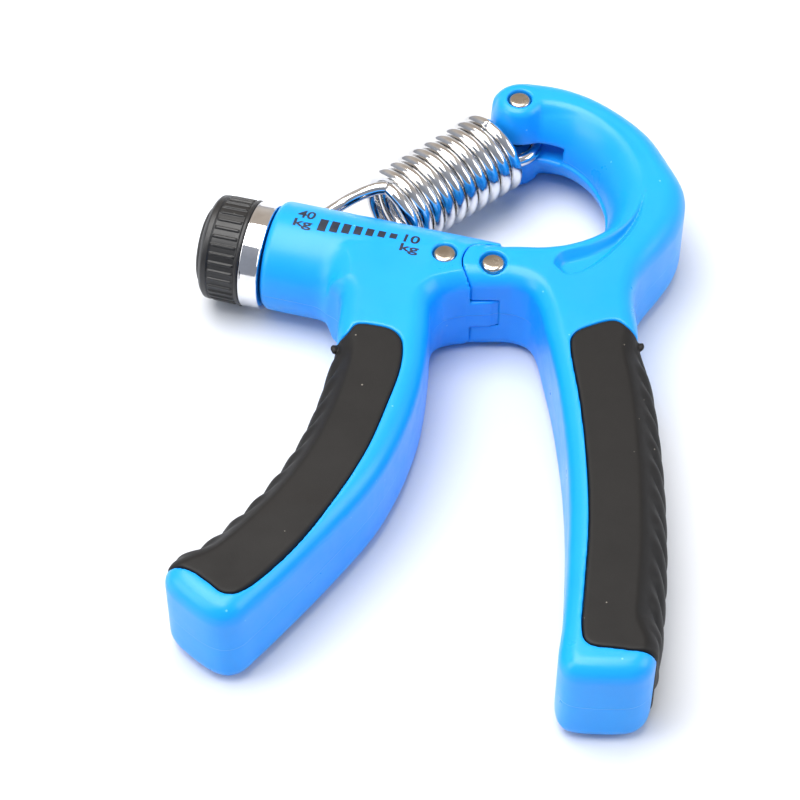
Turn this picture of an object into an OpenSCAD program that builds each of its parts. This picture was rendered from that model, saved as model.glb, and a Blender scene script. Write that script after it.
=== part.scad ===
// Adjustable hand grip strengthener: two hinged plastic handles with rubber grips, pulled
// apart by an extension spring whose rear hook travels on a screw turned by a knob.
// Drawn lying flat. Plan outlines are in millimetres from the pivot axis.

/* [Body] */
// Thickness of both handles
body_t = 23; // [22:0.5:25]
// Diameter of the round adjuster housing
housing_d = 23.8; // [23:0.1:24.5]
// Direction of the housing axis, seen from above
housing_angle = -15.5; // [-18:0.5:-13]
// Length of the housing, mouth to knuckle
housing_l = 44; // [42:1:46]

/* [Knuckle] */
// Radius of the right handle's round ears
ear_r = 6.6; // [6:0.1:7]
// Thickness of the left handle's middle tongue
tongue_t = 7.5; // [6:0.1:9]
// Radius of the tongue's round end
tongue_r = 5.4; // [5:0.1:5.8]
// Gap between the moving faces of the knuckle
knuckle_gap = 0.3; // [0.25:0.05:0.4]

/* [Fasteners] */
// Radius of the three rivet shanks
rivet_r = 1.7; // [1.5:0.1:1.8]
// Radius of the rivet heads
rivet_head_r = 2.45; // [2.2:0.05:2.6]
// Radial clearance of a pin in its moving bore
pin_clear = 0.05; // [0.03:0.01:0.1]

/* [Spring] */
// Wire diameter of the spring
wire_d = 2.8; // [2.4:0.1:3]
// Radius from the coil's axis to the wire's centre
coil_r = 8.2; // [7.5:0.05:8.3]
// Distance between turns, already stretched a little
coil_pitch = 3.19; // [3.1:0.01:3.3]
// Number of full turns
coil_turns = 9; // [8:1:10]
// Radius from the centre of a hook's loop to the wire's centre
loop_r = 5.2; // [5:0.1:5.4]

/* [Adjuster] */
// Diameter of the knob at its rim
knob_d = 22.9; // [22:0.1:22.9]
// Length of the knob without its end cap
knob_l = 9; // [8:0.5:10]
// Number of grip ribs around the knob
knob_ribs = 36; // [24:1:40]
// Diameter of the plated ring beside the knob
ring_d = 22.6; // [21.5:0.1:23]
// Width of the plated ring
ring_w = 4.4; // [4:0.1:5]
// Diameter of the adjusting screw's thread
screw_d = 5; // [4:0.5:5]
// Distance from the screw's axis to the housing's axis
screw_offset = 1.1; // [0.5:0.1:1.5]
// Radius of the bore that the slider runs in
bore_r = 7.2; // [7:0.1:7.4]
// Radius of the bush at the screw's far end
bearing_r = 4.2; // [4:0.1:4.5]

/* [Grips] */
// Thickness of the rubber over the top and bottom faces
rubber_skin = 2.5; // [2:0.1:3]
// Thickness of the rubber over the outer side
rubber_side = 3; // [2.5:0.1:3.5]

/* [Hidden] */

$fn = 64;
eps = 0.01;
mid = body_t / 2;
wire_r = wire_d / 2;

// The drawing's pivot axis lies here in the part's frame, whose origin is under the middle.
pivot_at = [11, 23.365];

// Fixed places on the plan, from the pivot axis.
anchor = [6.9, 48];
mouth = [-45.9, 12.5];
housing_dir = [cos(housing_angle), sin(housing_angle)];
housing_side = [-sin(housing_angle), cos(housing_angle)];
function on_housing(along, across) = mouth + along * housing_dir + across * housing_side;

// The slider's pin, at the strong end of its travel, and the spring's line from it.
hook_pin = on_housing(12.1, 6);
spring_line = anchor - hook_pin;
spring_l = norm(spring_line);
spring_angle = atan2(spring_line[1], spring_line[0]);
hook_z = mid + 4.5;
loop_hang = loop_r - wire_r - rivet_r - 0.35;
coil_first = spring_l - 8.7;
coil_last = coil_first - coil_turns * coil_pitch;

// Heights of the knuckle's layers.
tongue_z0 = mid - tongue_t / 2;
tongue_z1 = mid + tongue_t / 2;
ear_z0 = tongue_z0 - knuckle_gap;
ear_z1 = tongue_z1 + knuckle_gap;

// Counterbores for the rivet heads.
head_room_r = 2.7;
head_depth = 1.6;
head_h = 1.3;

// End of the housing's lip, on which the right handle's shoulder stops when it opens.
lip_x = 2;

// Points of a smooth curve that passes through the given points, steps per stretch.
function tangent(p, i) = (p[min(i + 1, len(p) - 1)] - p[max(i - 1, 0)]) / 2;
function blend(a, b, ta, tb, t) =
    (2 * t * t * t - 3 * t * t + 1) * a + (t * t * t - 2 * t * t + t) * ta
    + (3 * t * t - 2 * t * t * t) * b + (t * t * t - t * t) * tb;
function curve(p, steps = 6) = concat(
    [for (i = [0 : len(p) - 2]) for (k = [0 : steps - 1])
        blend(p[i], p[i + 1], tangent(p, i), tangent(p, i + 1), k / steps)],
    [p[len(p) - 1]]
);

// Edges of the handles and grips, each a smooth curve.
left_edge = [[0, -4.4], [-4, -4.4], [-8.5, -4.7], [-11.6, -6.4], [-12.9, -9.5], [-13.4, -17],
    [-14.4, -27], [-16.2, -36], [-19.5, -46], [-24.3, -56], [-32.8, -68], [-41.5, -79],
    [-46.4, -84.8], [-49, -87.6], [-52, -88.6], [-55.2, -87.6], [-59, -84.6], [-62.4, -81],
    [-63.4, -78], [-62.4, -75.2], [-60, -72.6], [-52.5, -64.8], [-45.8, -56.3], [-40.2, -46.5],
    [-36.3, -36.5], [-33.8, -27], [-32.3, -18], [-31.4, -9.5], [-31.6, -6.5], [-33.4, -4]];
right_edge = [[1, 49.5], [1.6, 51.4], [4.2, 53.8], [8.6, 54.9], [16, 53.4], [23, 50], [29.4, 44.8],
    [34.8, 38.4], [38.6, 31], [41.2, 23.5], [41, 17.4], [39.2, 11.8], [36.2, 6.8], [32.2, 1.2],
    [29.8, -3.6], [28.8, -9], [29.4, -18], [31, -30], [31.7, -44], [31.7, -58], [31, -72],
    [29.6, -85], [28.4, -93.5], [27.8, -97], [26.4, -99.8], [23.6, -101.4], [18.6, -101.6],
    [13.6, -101.2], [11.2, -100.2], [10.1, -98.2], [9.9, -95], [11, -88], [12, -79], [12.7, -70],
    [13.3, -59], [13.3, -48], [12.8, -38], [11.8, -27], [10.3, -17], [9.2, -10.5], [7.4, -6.4],
    [4, -4.6], [0, -4.4]];
arm_inner = [[10, 6.6], [15, 7.6], [19.6, 10.2], [23, 14], [25, 19], [25.4, 24.5], [24.2, 30],
    [21.6, 35.4], [17.6, 39.6], [12.6, 41.9], [8, 42.2]];
groove_outer = [[12.4, -0.4], [14.1, 2.5], [20, 4.9], [26, 9.3], [30.2, 14.3], [32.6, 20.6]];
groove_inner = [[32.6, 20.6], [30.8, 12.3], [26.5, 4.9], [20.4, -1.4], [15.3, -3.5], [12.4, -0.4]];

// Rubber areas on the handles' faces, wider than the handle on the outer side.
left_pad = [[-34, -19.6], [-30.2, -19.2], [-28, -17], [-24.5, -17.2], [-20.6, -18.6], [-18.7, -22],
    [-19.2, -29], [-21.6, -37.5], [-25.5, -49], [-31, -60], [-37.5, -70.4], [-43.4, -77.8],
    [-48.6, -82.8], [-52, -83.4], [-55.2, -80.8], [-58.3, -78.4], [-63, -76.6]];
right_pad = [[31, -20.4], [27, -17.7], [24, -16], [19.4, -17.3], [15.8, -19.6], [15, -24],
    [16.3, -38], [16.9, -54], [16.5, -68], [15.2, -81], [14.2, -91], [15.4, -94.8],
    [20.6, -95.8], [24, -96.3], [28.5, -96.5]];

module place() {
    translate([pivot_at[0], pivot_at[1], 0]) children();
}

module at(point, z = 0) {
    translate([point[0], point[1], z]) children();
}

// Local frame of the housing: X along its axis from the mouth, Y to the spring's side.
module housing_frame(across = 0) {
    at(on_housing(0, across), mid) rotate([0, 0, housing_angle]) children();
}

// Local frame of the spring: X along its axis from the slider's pin.
module spring_frame() {
    at(hook_pin, mid) rotate([0, 0, spring_angle]) children();
}

// A bar along X, round about its own axis.
module bar(x0, x1, r) {
    translate([x0, 0, 0]) rotate([0, 90, 0]) cylinder(h = x1 - x0, r = r);
}

module slab(z0, z1) {
    translate([0, 0, z0]) linear_extrude(z1 - z0) children();
}

// ---- Handles -------------------------------------------------------------------------

module left_plan() {
    polygon(concat(curve(left_edge), [on_housing(18, -3), on_housing(40, 8), [-6, 8], [0, 6.4]]));
}

module right_plan() {
    polygon(concat(curve(right_edge), [[0, 6], [2.2, 6.1]], curve(arm_inner)));
    at(anchor) circle(r = 6.2);
    intersection() {
        circle(r = ear_r);
        translate([-10, -4.4]) square(20);
    }
}

// Areas that the rubber covers, running past the handle's outer side.
module left_pad_area() {
    polygon(concat(curve(left_pad), [[-75, -76], [-75, -19]]));
}

module right_pad_area() {
    polygon(concat(curve(right_pad), [[45, -96.5], [45, -19]]));
}

// The handle's core under the rubber, moved inwards from the outer side.
module left_core_plan() {
    translate([rubber_side * 0.85, rubber_side * -0.5]) left_plan();
}

module right_core_plan() {
    translate([-rubber_side, 0]) right_plan();
}

module left_handle() {
    color("deepskyblue") place() difference() {
        union() {
            slab(0, body_t) difference() {
                left_plan();
                circle(r = ear_r + knuckle_gap);
                translate([0, -20]) square([20, 26]);
            }
            slab(tongue_z0, tongue_z1) {
                circle(r = tongue_r);
                polygon([[0, -4.4], [0, 4.4], [-9, 4.4], [-9, -4.4]]);
            }
            intersection() {
                housing_frame() bar(0, housing_l, housing_d / 2);
                slab(0, body_t) housing_limit();
            }
        }
        difference() {
            slab(-1, body_t + 1) left_pad_area();
            slab(rubber_skin, body_t - rubber_skin) left_core_plan();
        }
        housing_frame(-screw_offset) bar(3, 30.5, bore_r);
        housing_frame(-screw_offset) bar(30, 40, bearing_r);
        housing_frame(-screw_offset) bar(-1, 4, screw_d / 2 + 1.05);
        // Long slot for the slider's lug and the spring's hook.
        housing_frame() translate([4.8, 2, -3]) cube([27.4, 12, 9.8]);
        rivet_room([0, 0], body_t);
        rivet_room(on_housing(37.3, 0), body_t);
    }
}

// Plan of the housing: it stops at the knuckle and at the near wall between the handles.
module housing_limit() {
    difference() {
        polygon([[-70, 40], [lip_x, 40], [lip_x, -4.4], [-8.5, -4.7], [-12.5, -7.5], [-14, -30],
            [-70, -30]]);
        circle(r = ear_r + knuckle_gap);
        translate([-2.5, -20]) square([20, 26]);
    }
}

module right_handle() {
    color("deepskyblue") place() difference() {
        slab(0, body_t) right_plan();
        slab(ear_z0, ear_z1) {
            circle(r = tongue_r + knuckle_gap);
            translate([-10, -12]) square([12.3, 19.2]);
        }
        difference() {
            slab(-1, body_t + 1) right_pad_area();
            slab(rubber_skin, body_t - rubber_skin) right_core_plan();
        }
        // Slot for the spring's front hook.
        at(anchor, mid - wire_r - 0.35) rotate([0, 0, spring_angle])
            translate([-14, -9.5, 0]) cube([23, 19, wire_d + 0.7]);
        // Crescent groove in the upper face.
        slab(body_t - 1, body_t + 1) polygon(concat(curve(groove_outer), curve(groove_inner)));
        cylinder(h = 3 * body_t, r = rivet_r + pin_clear, center = true);
        rivet_room([0, 0], body_t);
        rivet_room(anchor, body_t);
    }
}

module rivet_room(point, t) {
    at(point, -1) cylinder(h = t + 2, r = rivet_r);
    at(point, -1) cylinder(h = head_depth + 1, r = head_room_r);
    at(point, t - head_depth) cylinder(h = head_depth + 1, r = head_room_r);
}

// ---- Rubber grips ---------------------------------------------------------------------

// Rubber on the top face, the bottom face and the outer side, around the handle's core.
module left_grip() {
    color([0.2, 0.19, 0.18]) place() difference() {
        slab(0, body_t) intersection() {
            left_plan();
            left_pad_area();
        }
        slab(rubber_skin, body_t - rubber_skin) left_core_plan();
    }
}

module right_grip() {
    color([0.2, 0.19, 0.18]) place() difference() {
        slab(0, body_t) intersection() {
            right_plan();
            right_pad_area();
        }
        slab(rubber_skin, body_t - rubber_skin) right_core_plan();
    }
}

// ---- Rivets ---------------------------------------------------------------------------

// Domed head with a shank that reaches down to the cap.
module rivet(point) {
    color("silver") place() at(point) {
        cylinder(h = body_t - head_depth + eps, r = rivet_r);
        translate([0, 0, body_t - head_depth]) rivet_head();
    }
}

module rivet_cap(point) {
    color("silver") place() at(point) difference() {
        translate([0, 0, head_depth]) mirror([0, 0, 1]) rivet_head();
        translate([0, 0, -1]) cylinder(h = body_t, r = rivet_r);
    }
}

module rivet_head() {
    rotate_extrude() polygon([[0, 0], [rivet_head_r, 0], [rivet_head_r, head_h * 0.4],
        [rivet_head_r - 0.5, head_h * 0.8], [rivet_head_r - 1.2, head_h], [0, head_h]]);
}

module pivot_rivet() {
    rivet([0, 0]);
}

module pivot_rivet_cap() {
    rivet_cap([0, 0]);
}

module anchor_rivet() {
    rivet(anchor);
}

module anchor_rivet_cap() {
    rivet_cap(anchor);
}

module housing_rivet() {
    rivet(on_housing(37.3, 0));
}

module housing_rivet_cap() {
    rivet_cap(on_housing(37.3, 0));
}

// ---- Spring ---------------------------------------------------------------------------

module ring(r, wire) {
    rotate_extrude() translate([r, 0]) circle(r = wire, $fn = 24);
}

// A straight piece of wire between two points of the spring's frame.
module wire(a, b) {
    d = b - a;
    translate(a) rotate([0, acos(d[2] / norm(d)), atan2(d[1], d[0])])
        cylinder(h = norm(d), r = wire_r, $fn = 24);
}

// Loop round the slider's pin, and the tail that climbs from its far side to the coil's top.
module spring_rear_hook() {
    tail_start = [loop_hang + 0.2 * loop_r, 0.98 * loop_r, hook_z - mid];
    tail_end = [coil_last - wire_r - 0.7, 1.4, coil_r - 0.2];
    color("gainsboro") place() spring_frame() {
        translate([loop_hang, 0, hook_z - mid]) ring(loop_r, wire_r);
        wire(tail_start, tail_end);
    }
}

// The coil as a stack of turns on a thin sleeve, one closed solid.
module spring_coil() {
    color("gainsboro") place() spring_frame() translate([coil_last, 0, 0]) rotate([0, 90, 0])
        rotate_extrude() {
            for (turn = [0 : coil_turns])
                translate([coil_r, turn * coil_pitch]) circle(r = wire_r, $fn = 20);
            translate([coil_r - 0.4, 0]) square([0.8, coil_turns * coil_pitch]);
        }
}

// Loop round the anchor rivet, and the short wire that joins it to the coil.
module spring_front_hook() {
    loop_x = spring_l - loop_hang;
    color("gainsboro") place() spring_frame() {
        translate([loop_x, 0, 0]) ring(loop_r, wire_r);
    }
}

// ---- Adjuster -------------------------------------------------------------------------

// Nut with a flat top, and a lug in the slot that keeps it from turning.
module slider_nut() {
    color("dimgray") place() housing_frame(-screw_offset) difference() {
        union() {
            intersection() {
                bar(7.6, 16.6, bore_r - 0.1);
                translate([0, -10, -10]) cube([30, 20, 12.7]);
            }
            translate([8.6, 0, -2.8]) cube([7, 9.6, 5.5]);
        }
        bar(0, 30, screw_d / 2 + pin_clear);
        translate([12.1, 6 + screw_offset, -2.8 - eps]) cylinder(h = 20, r = 1.5);
    }
}

module slider_pin() {
    color("silver") place() at(hook_pin, mid - 2.8) {
        cylinder(h = hook_z - mid + 2.8 + wire_r + 0.2, r = 1.5);
        translate([0, 0, hook_z - mid + 2.8 + wire_r + 0.15]) cylinder(h = 0.5, r = 2.2);
    }
}

module adjusting_screw() {
    color("silver") place() housing_frame(-screw_offset) difference() {
        union() {
            bar(-7, 30.3, screw_d / 2);
            bar(30.3 - eps, 35, 2);
            bar(-ring_w - 4, -ring_w + eps, 4);
        }
        bar(-ring_w - 5, -ring_w + 4, 1.25);
    }
}

// Bush that carries the screw's far end, held by the housing rivet.
module end_bearing() {
    color("dimgray") place() difference() {
        housing_frame(-screw_offset) bar(30.5, 40, bearing_r);
        housing_frame(-screw_offset) bar(30, 35.3, 2 + pin_clear);
        at(on_housing(37.3, 0), -1) cylinder(h = body_t + 2, r = rivet_r);
    }
}

module thrust_washer() {
    color("silver") place() housing_frame(-screw_offset) difference() {
        bar(3, 3.8, 5.5);
        bar(2, 5, screw_d / 2 + pin_clear);
    }
}

// Snap ring in the screw's groove, inside the mouth.
module retaining_clip() {
    color("silver") place() housing_frame(-screw_offset) difference() {
        bar(3.9, 4.7, 4.2);
        bar(3, 6, screw_d / 2);
    }
}

module chrome_ring() {
    color("whitesmoke") place() housing_frame(-screw_offset) difference() {
        bar(-ring_w, -0.15, ring_d / 2);
        bar(-ring_w - 1, 1, screw_d / 2);
    }
}

// Ribbed knob, narrower towards its outer end, with a recess for its screw and cap.
module knob() {
    outer = -ring_w - knob_l;
    color([0.13, 0.13, 0.13]) place() housing_frame(-screw_offset) difference() {
        union() {
            translate([outer, 0, 0]) rotate([0, 90, 0]) rotate_extrude() polygon([[0, 0],
                [9.6, 0], [knob_d / 2 - 0.9, 1.4], [knob_d / 2 - 0.4, knob_l - 1],
                [knob_d / 2, knob_l - 0.9], [knob_d / 2, knob_l], [0, knob_l]]);
            for (i = [0 : knob_ribs - 1]) rotate([i * 360 / knob_ribs, 0, 0])
                translate([outer + 1.6, -0.5, 9]) cube([knob_l - 2.4, 1, knob_d / 2 - 9.25]);
        }
        bar(-ring_w - 4, 1, 4);
        bar(outer - 1, -ring_w, 1.6);
        bar(outer - 1, outer + 3, 4.5);
    }
}

module knob_screw() {
    outer = -ring_w - knob_l;
    color("silver") place() housing_frame(-screw_offset) {
        bar(outer + 1.2, outer + 3, 2.8);
        bar(outer + 3 - eps, -ring_w + 3, 1.25);
    }
}

module knob_cap() {
    outer = -ring_w - knob_l;
    color([0.13, 0.13, 0.13]) place() housing_frame(-screw_offset) {
        bar(outer - 1.2, outer, 8.6);
        bar(outer - eps, outer + 1.1, 4.5);
    }
}

left_handle();
right_handle();
left_grip();
right_grip();
pivot_rivet();
pivot_rivet_cap();
anchor_rivet();
anchor_rivet_cap();
housing_rivet();
housing_rivet_cap();
spring_rear_hook();
spring_coil();
spring_front_hook();
slider_nut();
slider_pin();
adjusting_screw();
end_bearing();
thrust_washer();
retaining_clip();
chrome_ring();
knob();
knob_screw();
knob_cap();
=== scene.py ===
import math

import bmesh
import bpy
import numpy as np
import openvdb
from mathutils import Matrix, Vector
from mathutils.bvhtree import BVHTree


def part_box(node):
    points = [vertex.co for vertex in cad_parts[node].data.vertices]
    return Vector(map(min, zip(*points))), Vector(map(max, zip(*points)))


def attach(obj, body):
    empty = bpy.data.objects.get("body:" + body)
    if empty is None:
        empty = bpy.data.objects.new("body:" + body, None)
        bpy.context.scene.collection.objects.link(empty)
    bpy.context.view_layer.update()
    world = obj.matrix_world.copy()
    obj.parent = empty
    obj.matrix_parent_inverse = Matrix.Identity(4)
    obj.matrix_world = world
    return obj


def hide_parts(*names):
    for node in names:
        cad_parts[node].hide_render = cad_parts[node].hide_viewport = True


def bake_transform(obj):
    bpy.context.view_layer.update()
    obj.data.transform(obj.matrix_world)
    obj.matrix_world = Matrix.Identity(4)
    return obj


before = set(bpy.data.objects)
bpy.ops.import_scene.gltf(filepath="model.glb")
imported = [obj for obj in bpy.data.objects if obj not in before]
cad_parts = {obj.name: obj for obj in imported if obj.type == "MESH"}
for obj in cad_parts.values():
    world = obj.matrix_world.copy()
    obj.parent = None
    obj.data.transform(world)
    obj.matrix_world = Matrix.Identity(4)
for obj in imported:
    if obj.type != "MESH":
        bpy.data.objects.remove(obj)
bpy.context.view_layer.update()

MM = 0.001

# ---- Camera --------------------------------------------------------------------------

camera_data = bpy.data.cameras.new("camera")
camera_data.lens = 117
camera_data.sensor_width = 36
camera_data.clip_end = 10
camera = bpy.data.objects.new("camera", camera_data)
camera.location = (-8.2 * MM, -339.4 * MM, 418.0 * MM)
camera.rotation_euler = (math.radians(39.5), 0, 0)
bpy.context.scene.collection.objects.link(camera)
bpy.context.scene.camera = camera
bpy.context.scene.view_settings.view_transform = "Standard"


# ---- Places taken from the frame -----------------------------------------------------

def middle(node):
    low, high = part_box(node)
    return np.array([(low[k] + high[k]) / 2 for k in range(3)]) / MM


PIVOT = middle("pivot_rivet")[:2]          # the drawing's origin, in the row frame
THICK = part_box("left_handle")[1][2] / MM   # thickness of both handles
MID = THICK / 2
ANCHOR = middle("anchor_rivet")[:2] - PIVOT
HOOK_PIN = middle("slider_pin")[:2] - PIVOT

HOUSING_ANGLE = math.radians(-15.5)
HOUSING_DIR = np.array([math.cos(HOUSING_ANGLE), math.sin(HOUSING_ANGLE)])
HOUSING_SIDE = np.array([-HOUSING_DIR[1], HOUSING_DIR[0]])
MOUTH = np.array([-45.9, 12.5])
HOUSING_R = 11.9
SCREW_OFFSET = 1.1


def on_housing(along, across):
    return MOUTH + along * HOUSING_DIR + across * HOUSING_SIDE


HOUSING_RIVET = on_housing(37.3, 0)

# ---- Plan outlines, in mm from the pivot axis ----------------------------------------

LEFT_EDGE = [
    (0, -4.4), (-4, -4.4), (-8.5, -4.7), (-11.6, -6.4), (-12.9, -9.5), (-13.4, -17), (-14.4, -27),
    (-16.2, -36), (-19.5, -46), (-24.3, -56), (-32.8, -68), (-41.5, -79), (-46.4, -84.8),
    (-49, -87.6), (-52, -88.6), (-55.2, -87.6), (-59, -84.6), (-62.4, -81), (-63.4, -78),
    (-62.4, -75.2), (-60, -72.6), (-52.5, -64.8), (-45.8, -56.3), (-40.2, -46.5), (-36.3, -36.5),
    (-33.8, -27), (-32.3, -18), (-31.4, -9.5), (-31.6, -6.5), (-33.4, -4)]
RIGHT_EDGE = [
    (1, 49.6), (1.6, 51.7), (4.2, 54.2), (8.6, 55.4), (16.1, 54.1), (23.2, 50.7), (29.7, 45.3),
    (35.1, 38.7), (38.6, 31), (41.2, 23.5), (41, 17.4), (39.2, 11.8), (36.2, 6.8), (32.2, 1.2),
    (29.8, -3.6), (28.8, -9), (29.4, -18), (31, -30), (31.7, -44), (31.7, -58), (31, -72),
    (29.6, -85), (28.4, -93.5), (27.8, -97), (26.4, -99.8), (23.6, -101.4), (18.6, -101.6),
    (13.6, -101.2), (11.2, -100.2), (10.1, -98.2), (9.9, -95), (11, -88), (12, -79), (12.7, -70),
    (13.3, -59), (13.3, -48), (12.8, -38), (11.8, -27), (10.3, -17), (9.2, -10.5), (7.4, -6.4),
    (4, -4.6), (0, -4.4)]
ARM_INNER = [(10, 6.6), (15, 7.6), (19.6, 10.2), (23, 14), (25, 19), (25.4, 24.5), (24.2, 30),
             (21.6, 35.4), (17.6, 39.6), (12.6, 41.9), (8, 42.2)]
GROOVE_OUTER = [(12.4, -0.4), (14.1, 2.5), (20, 4.9), (26, 9.3), (30.2, 14.3), (32.6, 20.6)]
GROOVE_INNER = [(32.6, 20.6), (30.8, 12.3), (26.5, 4.9), (20.4, -1.4), (15.3, -3.5), (12.4, -0.4)]
LEFT_PAD = [
    (-34, -19.6), (-30.2, -19.2), (-28, -17), (-24.5, -17.2), (-20.6, -18.6), (-18.7, -22),
    (-19.2, -29), (-21.6, -37.5), (-25.5, -49), (-31, -60), (-37.5, -70.4), (-43.4, -77.8),
    (-48.6, -82.8), (-52, -83.4), (-55.2, -80.8), (-58.3, -78.4), (-63, -76.6)]
RIGHT_PAD = [
    (31, -20.4), (27, -17.7), (24, -16), (19.4, -17.3), (15.8, -19.6), (15, -24), (16.3, -38),
    (16.9, -54), (16.5, -68), (15.2, -81), (14.2, -91), (15.4, -94.8), (20.6, -95.8),
    (24, -96.3), (28.5, -96.5)]


def curve(points, steps=6):
    """Points of a smooth curve through the given points."""
    p = np.array(points, float)
    tangent = np.array([(p[min(i + 1, len(p) - 1)] - p[max(i - 1, 0)]) / 2 for i in range(len(p))])
    found = []
    for i in range(len(p) - 1):
        for k in range(steps):
            t = k / steps
            found.append((2 * t**3 - 3 * t**2 + 1) * p[i] + (t**3 - 2 * t**2 + t) * tangent[i]
                         + (3 * t**2 - 2 * t**3) * p[i + 1] + (t**3 - t**2) * tangent[i + 1])
    found.append(p[-1])
    return np.array(found)


LEFT_PLAN = np.vstack([curve(LEFT_EDGE), [on_housing(18, -3), on_housing(40, 8), (-6, 8), (0, 6.4)]])
RIGHT_PLAN = np.vstack([curve(RIGHT_EDGE), [(0, 6), (2.2, 6.1)], curve(ARM_INNER)])
LEFT_PAD_AREA = np.vstack([curve(LEFT_PAD), [(-75, -76), (-75, -19)]])
RIGHT_PAD_AREA = np.vstack([curve(RIGHT_PAD), [(45, -96.5), (45, -19)]])
NEAR_WALL = np.array([(-75, 45), (12, 45), (12, -2.2), (-6, -2.4), (-11.5, -5.2), (-14, -12),
                      (-14, -30), (-75, -30)], float)


def reach(outline, place):
    """Length along an outline to its point nearest to a place."""
    steps = np.hypot(*np.diff(outline, axis=0).T)
    walked = np.concatenate([[0], np.cumsum(steps)])
    return float(walked[np.argmin(np.hypot(*(outline - np.array(place)).T))])


LEFT_OUTER = (reach(LEFT_PLAN, (-62.4, -75.2)), reach(LEFT_PLAN, (-32.3, -18)))
RIGHT_OUTER = (reach(RIGHT_PLAN, (29.4, -18)), reach(RIGHT_PLAN, (28.4, -95)))
GROOVE = np.vstack([curve(GROOVE_OUTER)[:-1], curve(GROOVE_INNER)[:-1]])


# ---- Distance fields -----------------------------------------------------------------

RELAX_ROUNDS = 2
RELAX_IN, RELAX_OUT = 0.5, -0.52   # one step that shrinks and one that grows back

class Grid:
    """A regular grid in mm in the drawing's frame; fields on it are negative inside a solid."""

    def __init__(self, low, high, step):
        self.low, self.step = np.array(low, float), step
        axes = [np.arange(a, b, step, dtype=np.float32) for a, b in zip(low, high)]
        self.x = axes[0][:, None, None]
        self.y = axes[1][None, :, None]
        self.z = axes[2][None, None, :]

    def plan(self, outline):
        """Distance to a closed outline and the length along it of the nearest point."""
        px, py = self.x[:, :, 0], self.y[:, :, 0]
        best = np.full((px.shape[0], py.shape[1]), 1e9, np.float32)
        along = np.zeros_like(best)
        inside = np.zeros(best.shape, bool)
        walked = 0.0
        for a, b in zip(outline, np.roll(outline, -1, axis=0)):
            e = b - a
            length = float(np.hypot(*e))
            if length < 1e-9:
                continue
            t = np.clip(((px - a[0]) * e[0] + (py - a[1]) * e[1]) / length**2, 0, 1)
            d = (px - a[0] - t * e[0])**2 + (py - a[1] - t * e[1])**2
            near = d < best
            best = np.where(near, d, best)
            along = np.where(near, walked + t * length, along)
            if a[1] != b[1]:
                crossed = (a[1] > py) != (b[1] > py)
                inside ^= crossed & (px < e[0] * (py - a[1]) / e[1] + a[0])
            walked += length
        return (np.where(inside, -1, 1) * np.sqrt(best))[:, :, None], along[:, :, None]

    def column(self, at, r):
        return np.hypot(self.x - at[0], self.y - at[1]) - r

    def slab(self, low, high):
        return np.maximum(low - self.z, self.z - high)

    def along_housing(self):
        dx, dy = self.x - MOUTH[0], self.y - MOUTH[1]
        return (dx * HOUSING_DIR[0] + dy * HOUSING_DIR[1],
                dx * HOUSING_SIDE[0] + dy * HOUSING_SIDE[1])

    def bar(self, s0, s1, r, across=0.0):
        """A round bar along the housing's axis."""
        s, c = self.along_housing()
        return join_sharp(np.hypot(c - across, self.z - MID) - r, s0 - s, s - s1)

    def mesh(self, field, name):
        """A closed mesh of the field's zero surface, in metres in the row frame."""
        vdb = openvdb.FloatGrid()
        vdb.copyFromArray(np.ascontiguousarray(field, np.float32))
        points, _, quads = vdb.convertToPolygons(isovalue=0.0, adaptivity=0.0)
        points = points * self.step + self.low
        points[:, 0] += PIVOT[0]
        points[:, 1] += PIVOT[1]
        made = bpy.data.meshes.new(name)
        made.from_pydata((points * MM).tolist(), [], quads[:, ::-1].tolist())
        made.validate()
        obj = bpy.data.objects.new(name, made)
        bpy.context.scene.collection.objects.link(obj)
        laplace(made)
        shade_smooth(made)
        return obj


def join_sharp(*fields):
    found = fields[0]
    for other in fields[1:]:
        found = np.maximum(found, other)
    return found


def smooth_min(a, b, k):
    h = np.clip(0.5 + 0.5 * (b - a) / k, 0, 1)
    return b * (1 - h) + a * h - k * h * (1 - h)


def smooth_max(a, b, k):
    return -smooth_min(-a, -b, k)


def rounded_both(a, b, r):
    """What two fields share, with the edge between them rounded by r."""
    a, b = a + r, b + r
    return np.minimum(np.maximum(a, b), 0) + np.hypot(np.maximum(a, 0), np.maximum(b, 0)) - r


def rounded(plan, z, half, r):
    """A flat plan given thickness, its edges rounded by r."""
    return rounded_both(plan, np.abs(z - MID) - half, r)


def smoothstep(a, b, x):
    t = np.clip((x - a) / (b - a), 0, 1)
    return t * t * (3 - 2 * t)


def laplace(mesh):
    """Evens out the small steps of the grid without shrinking the shape."""
    count = len(mesh.vertices)
    co = np.zeros(count * 3)
    mesh.vertices.foreach_get("co", co)
    co = co.reshape(-1, 3)
    edges = np.zeros(len(mesh.edges) * 2, int)
    mesh.edges.foreach_get("vertices", edges)
    a, b = edges.reshape(-1, 2).T
    degree = np.maximum(np.bincount(a, minlength=count) + np.bincount(b, minlength=count), 1)
    for _ in range(RELAX_ROUNDS):
        for factor in (RELAX_IN, RELAX_OUT):
            moved = np.zeros_like(co)
            for k in range(3):
                total = (np.bincount(a, co[b, k], count) + np.bincount(b, co[a, k], count))
                moved[:, k] = total / degree - co[:, k]
            co += factor * moved
    mesh.vertices.foreach_set("co", co.reshape(-1))
    mesh.update()


def shade_smooth(mesh):
    mesh.polygons.foreach_set("use_smooth", np.ones(len(mesh.polygons), bool))
    mesh.update()


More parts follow.
